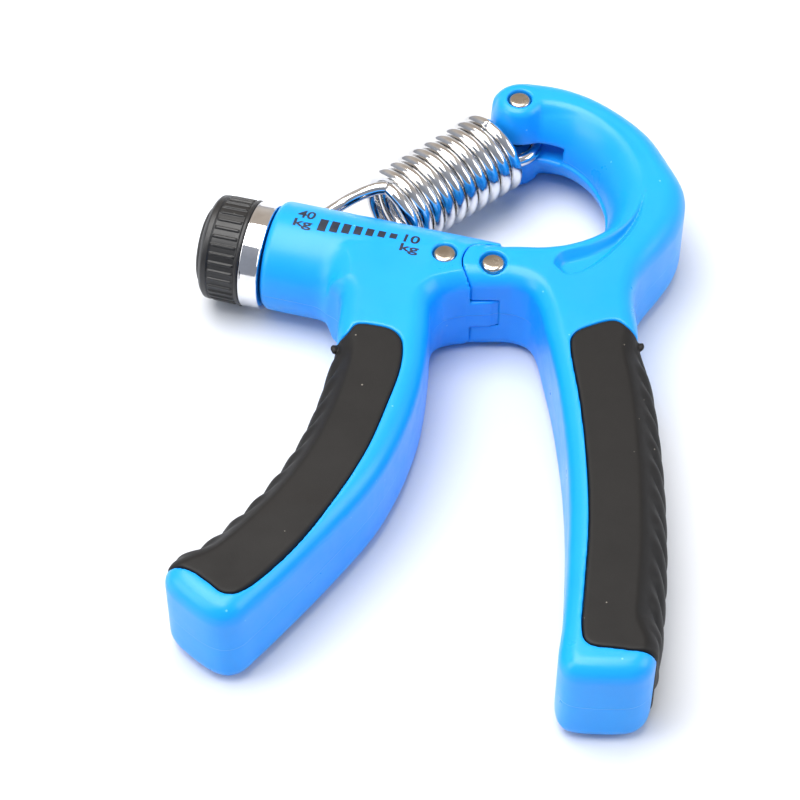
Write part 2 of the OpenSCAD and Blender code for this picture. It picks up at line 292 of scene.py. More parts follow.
def handle_envelope(g, edge_r, round_arm=0.0):
    """Both handles as one rounded plate, so that their edges run on across the seam."""
    left, left_along = g.plan(LEFT_PLAN)
    right, right_along = g.plan(RIGHT_PLAN)
    ear = np.maximum(g.column((0, 0), 6.6), -4.4 - g.y)
    plan = np.minimum(np.minimum(left, right), ear)
    outer_left = smoothstep(LEFT_OUTER[0], LEFT_OUTER[0] + 9, left_along)
    outer_left = outer_left * smoothstep(LEFT_OUTER[1] + 3, LEFT_OUTER[1] - 7, left_along)
    outer_right = smoothstep(RIGHT_OUTER[0] - 4, RIGHT_OUTER[0] + 8, right_along)
    outer_right = outer_right * smoothstep(RIGHT_OUTER[1], RIGHT_OUTER[1] - 8, right_along)
    outer = np.where(g.x < 0, outer_left, outer_right)
    side_oval = np.hypot(np.maximum(1 + plan / 6.5, 0), (g.z - MID) / MID) - 1
    plate = rounded(plan, g.z, MID, edge_r) * (1 - outer) + side_oval * 7.0 * outer
    if not isinstance(round_arm, float):
        low = smoothstep(MID, MID - 1.0, g.z)
        oval = np.hypot(np.maximum(1 + plan / (7.5 + 1.5 * low), 0),
                        (g.z - MID) / (MID - 2.0 * low)) - 1
        plate = plate * (1 - round_arm) + oval * 8.5 * round_arm
    return plate, plan, left_along, right_along


def right_side(g):
    """Plan of everything that belongs to the right handle at the seam."""
    shoulder = np.maximum(-g.x, g.y - 6.1)
    found = np.minimum(np.minimum(g.column((0, 0), 6.25), shoulder), 2.2 - g.x)
    return np.minimum(found, np.maximum(20 - g.y, -10 - g.x))


RIVET_HOLE = 1.72
WELL_DEPTH = 1.6


def rivet_holes(g, places):
    """Through holes with a wider well at both ends; places are (centre, well radius)."""
    found = None
    for at, room in places:
        hole = g.column(at, RIVET_HOLE)
        well = np.maximum(g.column(at, room), -g.slab(WELL_DEPTH, THICK - WELL_DEPTH))
        both = np.minimum(hole, well)
        found = both if found is None else np.minimum(found, both)
    return found


def core(g, plan_outline, shift):
    """The handle's core under its rubber."""
    moved, _ = g.plan(plan_outline + np.array(shift))
    return rounded(moved, g.z, MID - 2.5, 1.2)


def ribs(along, z, start):
    """Slanted scallops round the outer side, pointing to the handle's end."""
    phase = (along + 0.55 * np.sqrt((z - MID)**2 + 1.5) - start) / RIB_PITCH
    f = (phase - np.floor(phase))**1.7
    return RIB_DEPTH * 4 * f * (1 - f)


def rib_area(g, plan, pad):
    """Where the scallops are: on the outer side, fading at its edges and at the rubber's ends."""
    side = smoothstep(3.6, 0.8, -plan)
    height = smoothstep(11.2, 7.5, np.abs(g.z - MID))
    return side * height * smoothstep(0.8, 5.0, -pad)


def nub(g, base, tip, r):
    """A torn bit of moulding flash: a small blade from base to tip."""
    b, t = np.array(base, float), np.array(tip, float)
    e = t - b
    dx, dy, dz = g.x - b[0], g.y - b[1], g.z - b[2]
    q = np.clip((dx * e[0] + dy * e[1] + dz * e[2]) / float(e @ e), 0, 1)
    d = np.sqrt((dx - q * e[0])**2 + ((dy - q * e[1]) * 0.7)**2 + ((dz - q * e[2]) * 1.3)**2)
    return d - r * (1.1 - 0.45 * q + 0.25 * np.sin(9 * q))


# ---- Handles and their rubber --------------------------------------------------------

HANDLE_STEP = 0.36
GRIP_STEP = 0.3
LEFT_SHIFT = (3 * 0.85, -3 * 0.5)   # the core lies this far from the handle's outline
RIGHT_SHIFT = (-3, 0)
LEFT_EDGE_R = 4.3                   # rounding of the handles' upper and lower edges
RIGHT_EDGE_R = 3.9
MOUTH_EDGE = 1.7
HOUSING_LENGTH = 49
SEAM = 0.22                         # gap between the two handles
PRESSED = 0.35                      # small rounding where two surfaces meet
RIB_PITCH, RIB_DEPTH = 6.3, 0.9
RUBBER_DROP = 0.22                  # the rubber lies this far below the plastic
RUBBER_GAP, CORE_GAP = 0.14, 0.12
COIL_CLOSED_ANGLE = 23.3            # the spring's direction with the grip closed


def coil_room(g):
    """What the coil's rear turns sweep as the grip closes, below the housing's upper rim."""
    turn = math.radians(COIL_CLOSED_ANGLE)
    x, y = g.x - HOOK_PIN[0], g.y - HOOK_PIN[1]
    along = x * math.cos(turn) + y * math.sin(turn)
    across = -x * math.sin(turn) + y * math.cos(turn)
    round_way = np.hypot(across, g.z - MID) - 10.0
    return np.maximum(np.maximum(round_way, 8.0 - along), g.z - 17.6)


def make_left_handle():
    g = Grid((-66, -91, -1.2), (5, 27, THICK + 1.2), HANDLE_STEP)
    plate, _, _, _ = handle_envelope(g, LEFT_EDGE_R)
    s, c = g.along_housing()
    oval = np.hypot(c / HOUSING_R, (g.z - MID) / MID)
    tube = rounded_both((oval - 1) * HOUSING_R, -s, MOUTH_EDGE)
    limit, _ = g.plan(NEAR_WALL)
    tube = rounded_both(np.maximum(tube, s - HOUSING_LENGTH), limit, LEFT_EDGE_R)
    body = smooth_min(plate, tube, 0.4 + 4.8 * smoothstep(1.5, -5.0, c))
    body = np.maximum(body, g.slab(0, THICK))
    whole = body
    body = smooth_max(body, SEAM - right_side(g), 0.25)
    tongue = np.maximum(np.abs(g.x + 4.5) - 4.5, np.abs(g.y) - 6.2)
    tongue = np.minimum(g.column((0, 0), 4.3), tongue)
    tongue = join_sharp(tongue, g.slab(7.75, 15.25), whole)
    body = np.minimum(body, tongue)
    pad, _ = g.plan(LEFT_PAD_AREA)
    inner = core(g, LEFT_PLAN, LEFT_SHIFT)
    plastic = smooth_max(body, np.minimum(-pad, inner), PRESSED)
    slot = join_sharp(np.abs(s - 18.5) - 13.7, np.abs(c - 8) - 6, np.abs(g.z - 13.4) - 4.9)
    hollow = np.minimum(g.bar(3, 30.5, 7.2, -SCREW_OFFSET), g.bar(30, 40, 4.2, -SCREW_OFFSET))
    hollow = np.minimum(hollow, g.bar(-1, 4, 3.55, -SCREW_OFFSET))
    hollow = np.minimum(hollow, slot)
    hollow = np.minimum(hollow, rivet_holes(g, [((0, 0), 2.85), (HOUSING_RIVET, 2.6)]))
    plastic = smooth_max(plastic, -hollow, PRESSED)
    plastic = smooth_max(plastic, -coil_room(g), 0.5)
    return g.mesh(plastic, "left_handle_shell")


def make_right_handle():
    g = Grid((-9, -104, -1.2), (44, 58, THICK + 1.2), HANDLE_STEP)
    arm = smoothstep(-6, 12, g.y) * smoothstep(2, 12, g.x)
    around = np.hypot(g.x - 11.5, g.y - 24.5)
    inner_side = smoothstep(24.0, 20.5, around) * smoothstep(4, 12, g.x) * smoothstep(3, 13, g.y)
    lower = smoothstep(MID - 0.75, MID - 1.05, g.z)
    plate, _, _, _ = handle_envelope(g, RIGHT_EDGE_R + 1.2 * arm, inner_side)
    plate = plate - 0.5 * inner_side * lower
    body = smooth_max(plate, right_side(g), 0.25)
    swell = 6.3 - 1.9 * (np.abs(g.z - MID) / MID)**2.6
    ball = smooth_max(g.column(ANCHOR, swell), np.abs(g.z - MID) - MID, 1.6)
    body = smooth_min(body, ball, 0.9)
    body = np.maximum(body, g.slab(0, THICK))
    cavity = np.maximum(np.abs(g.x + 5) - 5, np.abs(g.y) - 7.2)
    cavity = np.maximum(np.minimum(g.column((0, 0), 4.42), cavity), g.slab(7.55, 15.45))
    spring = (ANCHOR - HOOK_PIN) / np.hypot(*(ANCHOR - HOOK_PIN))
    u = (g.x - ANCHOR[0]) * spring[0] + (g.y - ANCHOR[1]) * spring[1]
    v = -(g.x - ANCHOR[0]) * spring[1] + (g.y - ANCHOR[1]) * spring[0]
    slot = join_sharp(np.abs(u + 1.0) - 13.0, np.abs(v) - 11.6, np.abs(g.z - 12.3) - 2.05)
    groove, _ = g.plan(GROOVE)
    bowl = THICK - 0.5 - 1.8 * smoothstep(0.0, 1.7, -groove)
    groove = smooth_max(groove + 0.1, bowl - g.z, 0.4)
    pad, _ = g.plan(RIGHT_PAD_AREA)
    inner = core(g, RIGHT_PLAN, RIGHT_SHIFT)
    plastic = smooth_max(body, np.minimum(-pad, inner), PRESSED)
    plastic = smooth_max(plastic, -groove, 0.45)
    plastic = smooth_max(plastic, -slot, 0.9)
    hollow = np.minimum(cavity, rivet_holes(g, [((0, 0), 2.85), (ANCHOR, 2.7)]))
    plastic = smooth_max(plastic, -hollow, PRESSED)
    return g.mesh(plastic, "right_handle_shell")


def make_grip(g, name, envelope, along, pad_area, handle_core, start, flash):
    """The rubber over a handle's outer side, its scallops counted from the length start."""
    plate, plan = envelope
    pad, _ = g.plan(pad_area)
    inner = core(g, *handle_core)
    scallop = ribs(along, g.z, start) * rib_area(g, plan, pad)
    rubber = plate - RUBBER_DROP - scallop
    rubber = smooth_max(rubber, pad + RUBBER_GAP, 0.8)
    rubber = smooth_max(rubber, CORE_GAP - inner, 0.3)
    rubber = smooth_min(rubber, nub(g, *flash), 0.4)
    rubber = np.maximum(rubber, g.slab(0, THICK))
    return g.mesh(rubber, name)


def make_left_grip():
    g = Grid((-67, -91, -1.5), (-12, -14, THICK + 1.5), GRIP_STEP)
    plate, plan, along, _ = handle_envelope(g, LEFT_EDGE_R)
    total = float(np.hypot(*(np.diff(LEFT_PLAN, axis=0).T)).sum())
    return make_grip(g, "left_grip_rubber", (plate, plan), total - along, LEFT_PAD_AREA,
                     (LEFT_PLAN, LEFT_SHIFT), 0.65, ((-30.6, -22.0, 18.4), (-32.6, -21.4, 20.2), 0.85))


def make_right_grip():
    g = Grid((8, -104, -1.5), (36, -12, THICK + 1.5), GRIP_STEP)
    plate, plan, _, along = handle_envelope(g, RIGHT_EDGE_R)
    return make_grip(g, "right_grip_rubber", (plate, plan), along, RIGHT_PAD_AREA,
                     (RIGHT_PLAN, RIGHT_SHIFT), 0.8, ((27.6, -21.6, 18.6), (29.6, -20.6, 20.0), 0.75))


# ---- Turned and swept pieces ---------------------------------------------------------

def mesh_object(name, points, faces):
    """Points in mm in the row frame."""
    made = bpy.data.meshes.new(name)
    made.from_pydata((np.asarray(points, float) * MM).tolist(), [], faces)
    made.validate()
    obj = bpy.data.objects.new(name, made)
    bpy.context.scene.collection.objects.link(obj)
    shade_smooth(made)
    return obj


def turned(name, profile, origin, axis, side, sides, shape=None):
    """A profile of (length along the axis, radius) turned about the axis; both ends on it."""
    axis = np.array(axis, float)
    side = np.array(side, float)
    third = np.cross(axis, side)
    profile = np.array(profile, float)
    angle = np.linspace(0, 2 * math.pi, sides, endpoint=False)
    points, faces = [np.array(origin) + axis * profile[0][0]], []
    rings = profile[1:-1]
    spokes = np.cos(angle)[:, None] * side + np.sin(angle)[:, None] * third
    for t, r in rings:
        radius = (r + shape(t, angle))[:, None] if shape else r
        points.extend(np.array(origin) + axis * t + radius * spokes)
    points.append(np.array(origin) + axis * profile[-1][0])
    last = len(points) - 1
    for k in range(sides):
        j = (k + 1) % sides
        faces.append((0, 1 + j, 1 + k))
        for i in range(len(rings) - 1):
            a, b = 1 + i * sides, 1 + (i + 1) * sides
            faces.append((a + k, a + j, b + j, b + k))
        a = 1 + (len(rings) - 1) * sides
        faces.append((a + k, a + j, last))
    return mesh_object(name, points, faces)


def dense(profile, step):
    """The same profile with more points on its long stretches."""
    found = [profile[0]]
    for a, b in zip(profile[:-1], profile[1:]):
        count = max(1, int(round(math.dist(a, b) / step)))
        found += [tuple(np.array(a) + (np.array(b) - np.array(a)) * k / count)
                  for k in range(1, count + 1)]
    return found


def fillet(corners, r, steps=5):
    """Corners of a profile rounded by r, where its neighbours are far enough away."""
    found = [corners[0]]
    for a, b, c in zip(corners[:-2], corners[1:-1], corners[2:]):
        a, b, c = np.array(a, float), np.array(b, float), np.array(c, float)
        la, lc = np.hypot(*(a - b)), np.hypot(*(c - b))
        cut = min(r, la * 0.45, lc * 0.45)
        p, q = b + (a - b) / la * cut, b + (c - b) / lc * cut
        for k in range(steps + 1):
            t = k / steps
            found.append(tuple((1 - t)**2 * p + 2 * t * (1 - t) * b + t * t * q))
    found.append(corners[-1])
    return found


def swept(name, path, r, sides=28):
    """A round wire along a path of points in mm in the row frame."""
    path = np.array(path, float)
    tangent = np.gradient(path, axis=0)
    tangent /= np.linalg.norm(tangent, axis=1)[:, None]
    normal = np.cross(tangent[0], (0, 0, 1.0))
    if np.linalg.norm(normal) < 1e-3:
        normal = np.cross(tangent[0], (1.0, 0, 0))
    normal /= np.linalg.norm(normal)
    angle = np.linspace(0, 2 * math.pi, sides, endpoint=False)
    points, faces = [], []
    for p, t in zip(path, tangent):
        normal = normal - np.dot(normal, t) * t
        normal /= np.linalg.norm(normal)
        other = np.cross(t, normal)
        points.extend(p + r * (np.cos(angle)[:, None] * normal + np.sin(angle)[:, None] * other))
    for i in range(len(path) - 1):
        for k in range(sides):
            j = (k + 1) % sides
            faces.append((i * sides + k, i * sides + j, (i + 1) * sides + j, (i + 1) * sides + k))
    faces.append(tuple(range(sides))[::-1])
    faces.append(tuple((len(path) - 1) * sides + k for k in range(sides)))
    return mesh_object(name, points, faces)


# ---- Materials -----------------------------------------------------------------------

def srgb(r, g, b):
    return tuple((c / 255 / 12.92 if c / 255 <= 0.04045 else ((c / 255 + 0.055) / 1.055)**2.4)
                 for c in (r, g, b)) + (1.0,)


def grey(level):
    return (level, level, level, 1)


def set_stops(node, stops):
    """Gives a colour ramp its stops of (position, colour)."""
    marks = node.color_ramp.elements
    while len(marks) < len(stops):
        marks.new(0.5)
    for mark, (at, colour) in zip(marks, stops):
        mark.position = at
        mark.color = colour


class Look:
    """A material made of nodes on the Principled shader."""

    def __init__(self, name, **sockets):
        self.material = bpy.data.materials.new(name)
        self.material.use_nodes = True
        self.tree = self.material.node_tree
        self.nodes, self.links = self.tree.nodes, self.tree.links
        self.shader = self.nodes["Principled BSDF"]
        for key, value in sockets.items():
            self.shader.inputs[key.replace("_", " ")].default_value = value
        self.coordinates = self.nodes.new("ShaderNodeTexCoord").outputs["Object"]

    def feed(self, sockets, values):
        """Sets each socket to its value, or links it to the socket given."""
        for socket, value in zip(sockets, values):
            if isinstance(value, (int, float, tuple)):
                socket.default_value = value
            else:
                self.links.new(value, socket)

    def noise(self, scale, detail, rough):
        node = self.nodes.new("ShaderNodeTexNoise")
        node.inputs["Scale"].default_value = scale
        node.inputs["Detail"].default_value = detail
        node.inputs["Roughness"].default_value = rough
        self.links.new(self.coordinates, node.inputs["Vector"])
        return node.outputs["Fac"]

    def ramp(self, source, stops):
        node = self.nodes.new("ShaderNodeValToRGB")
        self.links.new(source, node.inputs["Fac"])
        set_stops(node, stops)
        return node.outputs["Color"]

    def specks(self, scale, size, amount):
        """Small round grains in a few cells of a Voronoi pattern."""
        node = self.nodes.new("ShaderNodeTexVoronoi")
        node.inputs["Scale"].default_value = scale
        self.links.new(self.coordinates, node.inputs["Vector"])
        near = self.math("LESS_THAN", node.outputs["Distance"], size)
        split = self.nodes.new("ShaderNodeSeparateColor")
        self.links.new(node.outputs["Color"], split.inputs["Color"])
        chosen = self.math("LESS_THAN", split.outputs["Red"], amount)
        return self.math("MULTIPLY", near, chosen)

    def math(self, kind, *values):
        node = self.nodes.new("ShaderNodeMath")
        node.operation = kind
        self.feed(node.inputs, values)
        return node.outputs[0]

    def mix(self, amount, a, b):
        node = self.nodes.new("ShaderNodeMix")
        node.data_type = "RGBA"
        self.feed((node.inputs[0], node.inputs[6], node.inputs[7]), (amount, a, b))
        return node.outputs[2]

    def height(self):
        """Height above the floor in mm, before the piece moves."""
        node = self.nodes.new("ShaderNodeSeparateXYZ")
        self.links.new(self.coordinates, node.inputs["Vector"])
        return self.math("MULTIPLY", node.outputs["Z"], 1000.0)

    def colour(self, source):
        self.links.new(source, self.shader.inputs["Base Color"])

    def roughness(self, source, low, high):
        node = self.nodes.new("ShaderNodeMapRange")
        node.inputs["From Min"].default_value = 0.3
        node.inputs["From Max"].default_value = 0.7
        node.inputs["To Min"].default_value = low
        node.inputs["To Max"].default_value = high
        self.links.new(source, node.inputs["Value"])
        self.links.new(node.outputs["Result"], self.shader.inputs["Roughness"])

    def bump(self, *layers):
        """Layers of (source, height in mm)."""
        previous = None
        for source, height in layers:
            node = self.nodes.new("ShaderNodeBump")
            node.inputs["Strength"].default_value = 1.0
            node.inputs["Distance"].default_value = height * MM
            self.links.new(source, node.inputs["Height"])
            if previous:
                self.links.new(previous, node.inputs["Normal"])
            previous = node.outputs["Normal"]
        self.links.new(previous, self.shader.inputs["Normal"])


def parting_line(look):
    """A thin raised line halfway up, where the two halves of the mould met."""
    off = look.math("ABSOLUTE", look.math("SUBTRACT", look.height(), MID))
    return look.math("SUBTRACT", 1.0, look.math("MINIMUM", look.math("DIVIDE", off, 0.16), 1.0))


def blue_plastic():
    look = Look("blue_plastic", Specular_IOR_Level=0.4, IOR=1.49, Coat_Weight=0.0)
    clouds = look.noise(38, 3, 0.55)
    colour = look.ramp(clouds, [(0.30, srgb(14, 148, 241)), (0.55, srgb(17, 153, 244)),
                                (0.8, srgb(24, 158, 246))])
    dust = look.specks(620, 0.13, 0.02)
    colour = look.mix(look.math("MULTIPLY", dust, 0.45), colour, srgb(140, 214, 255))
    line = parting_line(look)
    # painted highlight: the raised parting line is coloured lighter, as if it caught the light
    colour = look.mix(look.math("MULTIPLY", line, 0.3), colour, srgb(120, 205, 255))
    look.colour(colour)
    look.roughness(look.noise(120, 4, 0.6), 0.27, 0.40)
    look.bump((look.noise(900, 3, 0.5), 0.010), (look.noise(130, 2, 0.5), 0.03), (line, 0.07))
    look.shader.inputs["Subsurface Weight"].default_value = 0.08
    look.shader.inputs["Subsurface Radius"].default_value = (0.4, 0.9, 1.4)
    look.shader.inputs["Subsurface Scale"].default_value = 0.0015
    return look.material


def black_rubber():
    look = Look("black_rubber", Specular_IOR_Level=0.3)
    clouds = look.noise(45, 4, 0.6)
    colour = look.ramp(clouds, [(0.30, srgb(15, 13, 12)), (0.60, srgb(19, 17, 16)),
                                (0.8, srgb(25, 22, 20))])
    dust = look.math("MAXIMUM", look.specks(700, 0.13, 0.03), look.specks(300, 0.06, 0.06))
    colour = look.mix(look.math("MULTIPLY", dust, 0.65), colour, srgb(150, 144, 134))
    look.colour(colour)
    look.roughness(look.noise(90, 4, 0.6), 0.50, 0.66)
    look.bump((look.noise(2600, 3, 0.6), 0.022), (look.noise(160, 3, 0.5), 0.05))
    return look.material


def metal(name, low, high, rough, bump, stains=None):
    look = Look(name, Metallic=1.0)
    clouds = look.noise(140, 4, 0.6)
    colour = look.ramp(clouds, [(0.35, low), (0.65, high)])
    if stains:
        spots = look.ramp(look.noise(420, 3, 0.6), [(0.60, grey(0.0)), (0.70, grey(1.0))])
        colour = look.mix(look.math("MULTIPLY", spots, 0.7), colour, stains)
    look.colour(colour)
    look.roughness(look.noise(300, 4, 0.6), *rough)
    look.bump((look.noise(700, 3, 0.6), bump))
    return look.material


def black_plastic():
    look = Look("black_plastic", Specular_IOR_Level=0.5)
    colour = look.ramp(look.noise(60, 4, 0.6), [(0.3, srgb(24, 24, 25)), (0.7, srgb(32, 31, 31))])
    dust = look.specks(420, 0.14, 0.03)
    colour = look.mix(look.math("MULTIPLY", dust, 0.5), colour, srgb(150, 148, 145))
    look.colour(colour)
    look.roughness(look.noise(140, 4, 0.6), 0.34, 0.46)
    look.bump((look.noise(2200, 2, 0.5), 0.010), (look.noise(200, 3, 0.5), 0.015))
    return look.material


def ink():
    look = Look("scale_ink", Specular_IOR_Level=0.4)
    look.colour(look.ramp(look.noise(500, 4, 0.7), [(0.35, srgb(27, 32, 46)), (0.7, srgb(38, 44, 60))]))
    look.roughness(look.noise(400, 3, 0.6), 0.35, 0.55)
    look.bump((look.noise(1500, 2, 0.5), 0.006))
    return look.material


def inner_plastic():
    look = Look("inner_plastic", Specular_IOR_Level=0.5)
    look.colour(look.ramp(look.noise(80, 3, 0.6), [(0.3, srgb(60, 62, 66)), (0.7, srgb(78, 80, 84))]))
    look.roughness(look.noise(200, 3, 0.6), 0.4, 0.55)
    look.bump((look.noise(900, 3, 0.5), 0.01))
    return look.material


def paper():
    look = Look("floor_paper", Specular_IOR_Level=0.2)
    fibres = look.noise(12, 3, 0.5)
    look.colour(look.ramp(fibres, [(0.3, srgb(214, 217, 222)), (0.7, srgb(218, 221, 226))]))
    look.roughness(look.noise(40, 3, 0.5), 0.7, 0.85)
    look.bump((look.noise(900, 3, 0.5), 0.01))
    return look.material


BLUE = blue_plastic()
RUBBER = black_rubber()
NICKEL = metal("nickel", srgb(176, 166, 152), srgb(214, 206, 194), (0.16, 0.30), 0.03,
               srgb(128, 100, 78))
WIRE = metal("spring_wire", srgb(212, 210, 208), srgb(236, 235, 234), (0.06, 0.13), 0.008)
CHROME = metal("chrome_plate", srgb(222, 221, 222), srgb(240, 240, 241), (0.03, 0.10), 0.004)
STEEL = metal("steel", srgb(140, 138, 136), srgb(176, 174, 170), (0.25, 0.40), 0.01)
BLACK = black_plastic()
INK = ink()
INNER = inner_plastic()


def dress(obj, material):
    obj.data.materials.clear()
    obj.data.materials.append(material)


# ---- Handles and grips ---------------------------------------------------------------

left_handle, left_grip = make_left_handle(), make_left_grip()
right_handle, right_grip = make_right_handle(), make_right_grip()
for obj, body, node, material, slot in (
    (left_handle, "left", "left_handle", BLUE, "blue_plastic"),
    (left_grip, "left", "left_grip", RUBBER, "black_rubber"),
    (right_handle, "right", "right_handle", BLUE, "blue_plastic"),
    (right_grip, "right", "right_grip", RUBBER, "black_rubber"),
):
    dress(obj, material)
    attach(obj, body)
    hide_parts(node)

# ---- Rivets --------------------------------------------------------------------------

HEAD_R, SHANK_R = 2.42, 1.7
SHANK_FOOT, CAP_TOP = 1.6, 1.58
HEAD_TOP = THICK - 0.2
HEAD_SEAT = THICK - 1.6


def rivet_pieces(name, cap_name, at, body):
    origin = (PIVOT[0] + at[0], PIVOT[1] + at[1], 0)
    crown = fillet([(HEAD_TOP, 0), (HEAD_TOP + 0.02, 0.35), (HEAD_TOP, 1.5), (HEAD_TOP - 0.14, 2.1),
                    (HEAD_TOP - 0.5, HEAD_R), (HEAD_SEAT, HEAD_R), (HEAD_SEAT, SHANK_R),
                    (SHANK_FOOT, SHANK_R), (SHANK_FOOT, 0)], 0.3)
    foot = fillet([(0.2, 0), (0.18, 0.7), (0.2, 1.5), (0.34, 2.1), (0.7, HEAD_R), (CAP_TOP, HEAD_R),
                   (CAP_TOP, 0)], 0.3)
    head = turned(name + "_piece", crown[::-1], origin, (0, 0, 1), (1, 0, 0), 72)
    cap = turned(cap_name + "_piece", foot, origin, (0, 0, 1), (1, 0, 0), 72)
    for piece, node in ((head, name), (cap, cap_name)):
        dress(piece, NICKEL)
        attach(piece, body)
        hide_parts(node)


rivet_pieces("pivot_rivet", "pivot_rivet_cap", (0, 0), "left")
rivet_pieces("housing_rivet", "housing_rivet_cap", HOUSING_RIVET, "left")
rivet_pieces("anchor_rivet", "anchor_rivet_cap", ANCHOR, "right")

# ---- Knob, cap and plated ring -------------------------------------------------------

screw_origin = np.array([*(PIVOT + on_housing(0, -SCREW_OFFSET)), MID])
outward = -np.array([HOUSING_DIR[0], HOUSING_DIR[1], 0])
KNOB_RIBS, RIB_RISE = 36, 0.34


def knob_shape(t, angle):
    """Height of the ribs over the knob's ground, t mm from the mouth."""
    ends = smoothstep(5.55, 5.95, t) * smoothstep(11.3, 10.7, t)
    wave = np.cos(angle * KNOB_RIBS)
    return RIB_RISE * ends * smoothstep(0.35, 0.85, wave)


knob_profile = fillet([(4.42, 0), (4.42, 11.15), (4.6, 11.43), (5.2, 11.43), (5.42, 10.98),
                       (11.2, 10.93), (11.45, 11.22), (12.6, 11.12), (13.38, 10.2), (13.38, 8.9),
                       (13.0, 8.7), (13.0, 0)], 0.25)
knob = turned("knob_body", dense(knob_profile, 0.25), screw_origin, outward, (0, 0, 1), 720, knob_shape)
cap_profile = fillet([(13.02, 0), (13.02, 8.55), (14.1, 8.55), (14.55, 8.0), (14.58, 0)], 0.45)
cap = turned("knob_end_cap", dense(cap_profile, 0.4), screw_origin, outward, (0, 0, 1), 180)
ring_profile = fillet([(4.38, 0), (4.38, 10.9), (4.3, 11.28), (4.05, 11.3), (3.85, 11.22),
                       (0.55, 11.22), (0.3, 11.3), (0.18, 11.1), (0.18, 0)], 0.12)
ring = turned("plated_ring", dense(ring_profile[::-1], 0.3), screw_origin, outward, (0, 0, 1), 256)
for piece, node, material, slot in (
    (knob, "knob", BLACK, "black_plastic"),
    (cap, "knob_cap", BLACK, "black_plastic"),
    (ring, "chrome_ring", CHROME, "chrome_plate"),
):
    dress(piece, material)
    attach(piece, "adjuster")
    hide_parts(node)

# ---- Spring --------------------------------------------------------------------------

spring_vector = ANCHOR - HOOK_PIN
SPRING_L = float(np.hypot(*spring_vector))
spring_dir = spring_vector / SPRING_L
spring_side = np.array([-spring_dir[1], spring_dir[0]])
WIRE_R, COIL_R, PITCH, TURNS = 1.4, 8.2, 3.19, 9
LOOP_R = 5.2                   # rear hook
FRONT_MORE = 1.1               # the front hook is larger
FRONT_R = LOOP_R + FRONT_MORE
COIL_FRONT = SPRING_L - 8.7
COIL_REAR = COIL_FRONT - TURNS * PITCH
HOOK_UP = 4.5                  # the rear hook stands above the coil's axis
HANG = 1.75                    # from the pin to the middle of its hook
COIL_STEPS, WIRE_STEPS = 64, 14


def in_row(points):
    """Points of the spring's own frame (along, to the far side, up) in the row frame."""
    p = np.array(points, float)
    plan = PIVOT + HOOK_PIN + p[:, :1] * spring_dir + p[:, 1:2] * spring_side
    return np.column_stack([plan, p[:, 2] + MID])


def helix(turn):
    angle = 2 * math.pi * turn
    return (COIL_REAR + PITCH * turn, -COIL_R * math.sin(angle), COIL_R * math.cos(angle))


def loop(centre, r, up, degrees):
    """Points of a hook's loop, level and up above the coil's axis."""
    angles = [math.radians(a) for a in degrees]
    return [(centre + r * math.cos(a), r * math.sin(a), up) for a in angles]


rear = loop(HANG, LOOP_R, HOOK_UP, range(-30, -279, -12))
rear += [(HANG + 3.6, 5.0, 4.9), (HANG + 6.0, 4.3, 5.8), (HANG + 8.4, 3.0, 7.0),
         (COIL_REAR - 1.5, 1.45, 7.9), helix(0)]
front = [helix(TURNS + k / 16) for k in range(10)]
front += [(COIL_FRONT + 2.2, 7.1, -2.9), (COIL_FRONT + 2.7, 6.5, -0.9)]
front += loop(SPRING_L - HANG - FRONT_MORE, FRONT_R, 0, range(112, -146, -13))
coil = [helix(k / COIL_STEPS) for k in range(TURNS * COIL_STEPS + 1)]

rear_wire = swept("spring_rear_wire", in_row(curve(rear, WIRE_STEPS)), WIRE_R)
coil_wire = swept("spring_coil_wire", in_row(coil), WIRE_R)
front_wire = swept("spring_front_wire", in_row(curve(front, WIRE_STEPS)), WIRE_R)
for piece, node in ((rear_wire, "spring_rear_hook"), (coil_wire, "spring_coil"),
                    (front_wire, "spring_front_hook")):
    dress(piece, WIRE)
    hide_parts(node)
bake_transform(rear_wire)
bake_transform(coil_wire)
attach(front_wire, "spring_front")

# ---- Printed scale -------------------------------------------------------------------

surface = BVHTree.FromPolygons([v.co for v in left_handle.data.vertices],
                               [tuple(p.vertices) for p in left_handle.data.polygons])


INK_ABOVE, INK_FILM = 0.00004, 0.00006   # metres
OVERHEAD = 0.05
LONGEST_EDGE = 0.1                       # in the font's units, so that letters follow the curve


def printed(name, shapes):
    """Flat shapes in housing millimetres laid on the plastic as a thin film of ink."""
    points, faces = [], []
    for plan, polygons in shapes:
        base = len(points)
        for s, c in plan:
            x, y = (PIVOT + on_housing(s, c)) * MM
            hit = surface.ray_cast(Vector((x, y, OVERHEAD)), Vector((0, 0, -1)))[0]
            points.append((x, y, hit.z + INK_ABOVE))
        faces += [tuple(base + i for i in polygon) for polygon in polygons]
    made = bpy.data.meshes.new(name)
    made.from_pydata(points, [], faces)
    made.validate()
    obj = bpy.data.objects.new(name, made)
    bpy.context.scene.collection.objects.link(obj)
    thick = obj.modifiers.new("film", "SOLIDIFY")
    thick.thickness = INK_FILM
    thick.offset = -1
    return obj


